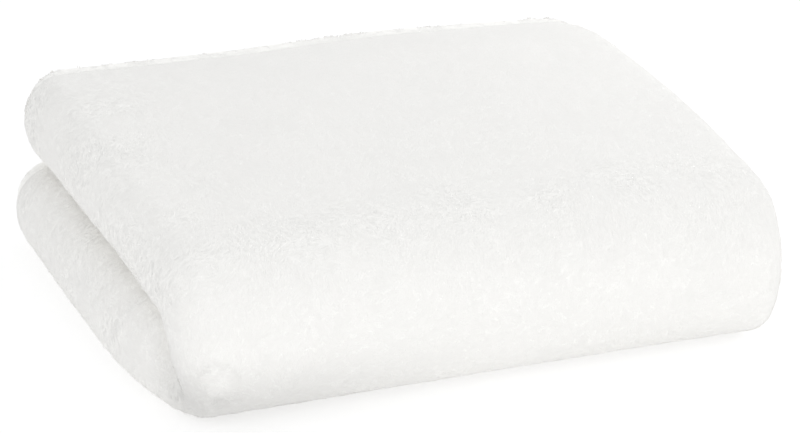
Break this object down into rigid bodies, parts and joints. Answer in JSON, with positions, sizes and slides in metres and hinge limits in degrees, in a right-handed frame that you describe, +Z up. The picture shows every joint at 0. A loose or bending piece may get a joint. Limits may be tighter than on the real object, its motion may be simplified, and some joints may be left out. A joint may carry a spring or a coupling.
{
  "type": "fleece blanket",
  "caption": "Soft plush fleece blanket folded into a thick pack, with a rounded front fold and two fold lobes at its left end.",
  "frame": {"origin": "middle of the resting side, on the surface it lies on", "axes": "+X along the front fold, from the double-lobed left end to the right end; +Y from the front fold to the hems at the back; +Z up"},
  "size_m": [0.3936, 0.3438, 0.1162],
  "materials": {
    "fleece": "short dense plush pile on both sides, matt with a soft sheen"
  },
  "bodies": {
    "root": {"blanket": "fleece"}
  },
  "joints": []
}
